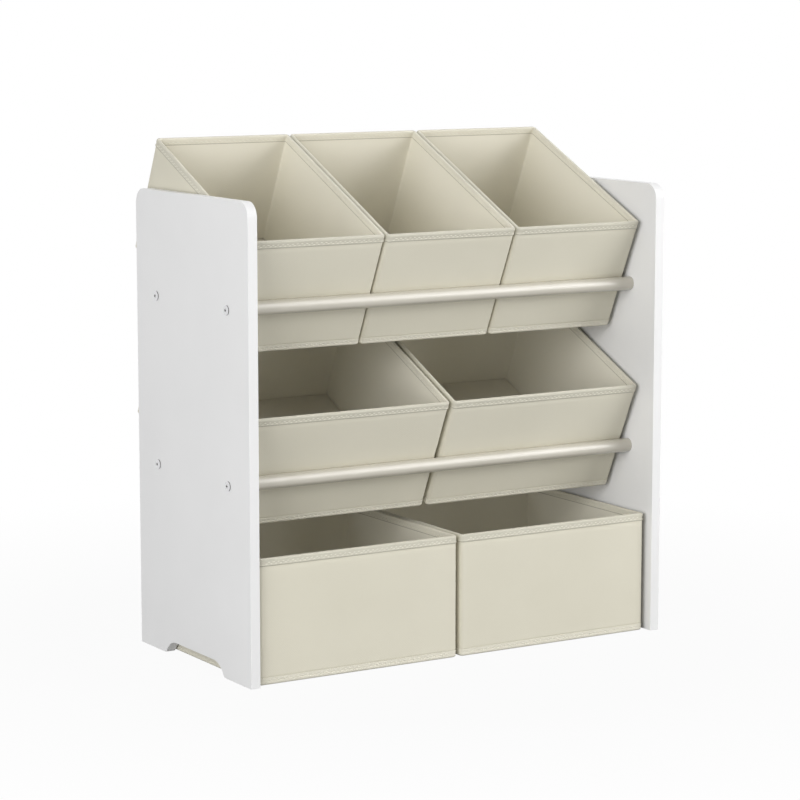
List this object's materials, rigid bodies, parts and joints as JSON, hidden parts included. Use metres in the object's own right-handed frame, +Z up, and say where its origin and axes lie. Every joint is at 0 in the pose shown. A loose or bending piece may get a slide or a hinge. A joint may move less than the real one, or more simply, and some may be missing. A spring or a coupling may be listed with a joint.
{
  "type": "kids shelf",
  "caption": "Low toy shelf: two side panels joined by round rods that carry tilted fabric bins, with level fabric bins on the floor below.",
  "frame": {"origin": "on the floor, in the middle of the footprint of panels and bins", "axes": "+X to the right, +Y to the back, +Z up; the open fronts of the bins face -Y"},
  "size_m": [0.6274, 0.341, 0.6648],
  "materials": {
    "panel_board": "smooth white laminate on board, satin",
    "rod_paint": "cream paint, satin",
    "bin_fabric": "cream non-woven fabric with a fine dimple pattern, matt",
    "rim_tape": "cream non-woven tape, stitched, matt",
    "base_cloth": "cream non-woven fabric over a board, matt",
    "stiff_board": "plain grey-brown board, matt",
    "screw_steel": "bright nickel plate"
  },
  "bodies": {
    "frame": {"left_side_panel": "panel_board", "right_side_panel": "panel_board", "top_front_rod": "rod_paint", "top_rear_rod": "rod_paint", "middle_front_rod": "rod_paint", "middle_rear_rod": "rod_paint", "left_rod_screws": "screw_steel", "right_rod_screws": "screw_steel"},
    "top_left_bin": {"top_left_bin_fabric": "bin_fabric", "top_left_bin_wall_boards": "stiff_board", "top_left_bin_rim_tape": "rim_tape", "top_left_bin_base_board": "base_cloth"},
    "top_centre_bin": {"top_centre_bin_fabric": "bin_fabric", "top_centre_bin_wall_boards": "stiff_board", "top_centre_bin_rim_tape": "rim_tape", "top_centre_bin_base_board": "base_cloth"},
    "top_right_bin": {"top_right_bin_fabric": "bin_fabric", "top_right_bin_wall_boards": "stiff_board", "top_right_bin_rim_tape": "rim_tape", "top_right_bin_base_board": "base_cloth"},
    "middle_left_bin": {"middle_left_bin_fabric": "bin_fabric", "middle_left_bin_wall_boards": "stiff_board", "middle_left_bin_rim_tape": "rim_tape", "middle_left_bin_base_board": "base_cloth"},
    "middle_right_bin": {"middle_right_bin_fabric": "bin_fabric", "middle_right_bin_wall_boards": "stiff_board", "middle_right_bin_rim_tape": "rim_tape", "middle_right_bin_base_board": "base_cloth"},
    "floor_left_bin": {"floor_left_bin_fabric": "bin_fabric", "floor_left_bin_wall_boards": "stiff_board", "floor_left_bin_rim_tape": "rim_tape", "floor_left_bin_base_board": "base_cloth"},
    "floor_right_bin": {"floor_right_bin_fabric": "bin_fabric", "floor_right_bin_wall_boards": "stiff_board", "floor_right_bin_rim_tape": "rim_tape", "floor_right_bin_base_board": "base_cloth"}
  },
  "joints": [
    {"name": "top_left_bin_lift", "type": "slide", "parent": "frame", "child": "top_left_bin", "axis": [0, 0, 1], "range_m": [0, 0.2]},
    {"name": "top_centre_bin_lift", "type": "slide", "parent": "frame", "child": "top_centre_bin", "axis": [0, 0, 1], "range_m": [0, 0.2]},
    {"name": "top_right_bin_lift", "type": "slide", "parent": "frame", "child": "top_right_bin", "axis": [0, 0, 1], "range_m": [0, 0.2]},
    {"name": "middle_left_bin_lift", "type": "slide", "parent": "frame", "child": "middle_left_bin", "axis": [0, 0, 1], "range_m": [0, 0.021]},
    {"name": "middle_right_bin_lift", "type": "slide", "parent": "frame", "child": "middle_right_bin", "axis": [0, 0, 1], "range_m": [0, 0.021]},
    {"name": "floor_left_bin_pull", "type": "slide", "parent": "frame", "child": "floor_left_bin", "axis": [0, -1, 0], "range_m": [0, 0.285]},
    {"name": "floor_right_bin_pull", "type": "slide", "parent": "frame", "child": "floor_right_bin", "axis": [0, -1, 0], "range_m": [0, 0.285]}
  ]
}
